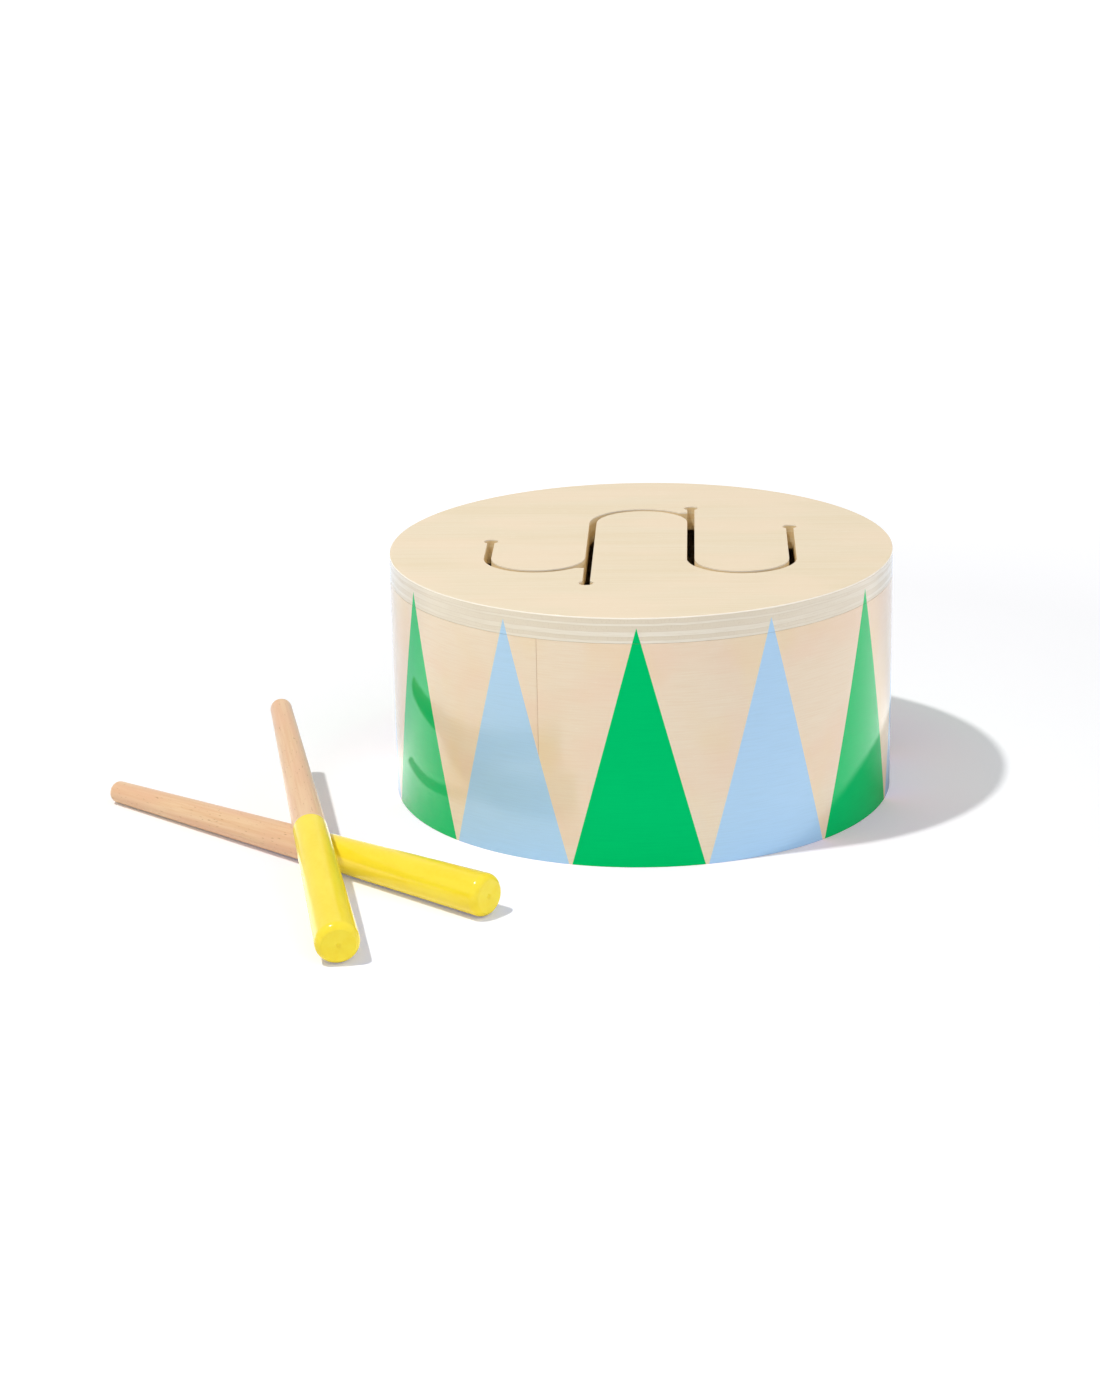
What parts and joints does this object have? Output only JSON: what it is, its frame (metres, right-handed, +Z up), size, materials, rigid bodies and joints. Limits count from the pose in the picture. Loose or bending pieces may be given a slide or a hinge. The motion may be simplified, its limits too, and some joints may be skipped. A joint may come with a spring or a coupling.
{
  "type": "wooden slit drum",
  "caption": "Round wooden slit drum with a winding slot in its plywood top, printed triangles round the wall, and two tapered sticks.",
  "frame": {"origin": "on the drum's axis, in the plane of its flat underside, on the surface that it stands on", "axes": "+Z up along the drum's axis, out of the struck face; -Y towards the front, where a green triangle stands in the middle and the sticks lie to the left; +X to the right"},
  "size_m": [0.3139, 0.2953, 0.0985],
  "materials": {
    "birch_plywood": "fine-sanded pale plywood, satin, open ply edges",
    "printed_plywood": "pale bent plywood with printed green and blue triangles under clear gloss lacquer",
    "raw_plywood": "uncoated plywood",
    "dipped_beech": "turned beech, the head half dipped in yellow gloss paint"
  },
  "bodies": {
    "drum": {"top_plate": "birch_plywood", "shell": "printed_plywood", "seam_batten": "raw_plywood", "bottom_plate": "raw_plywood"},
    "lower_stick_body": {"lower_stick": "dipped_beech"},
    "upper_stick_body": {"upper_stick": "dipped_beech"}
  },
  "joints": [
    {"name": "lower_stick_lift", "type": "slide", "parent": "drum", "child": "lower_stick_body", "axis": [0, 0, 1], "range_m": [0, 0.15]},
    {"name": "upper_stick_lift", "type": "slide", "parent": "lower_stick_body", "child": "upper_stick_body", "axis": [0, 0, 1], "range_m": [0, 0.15]}
  ]
}
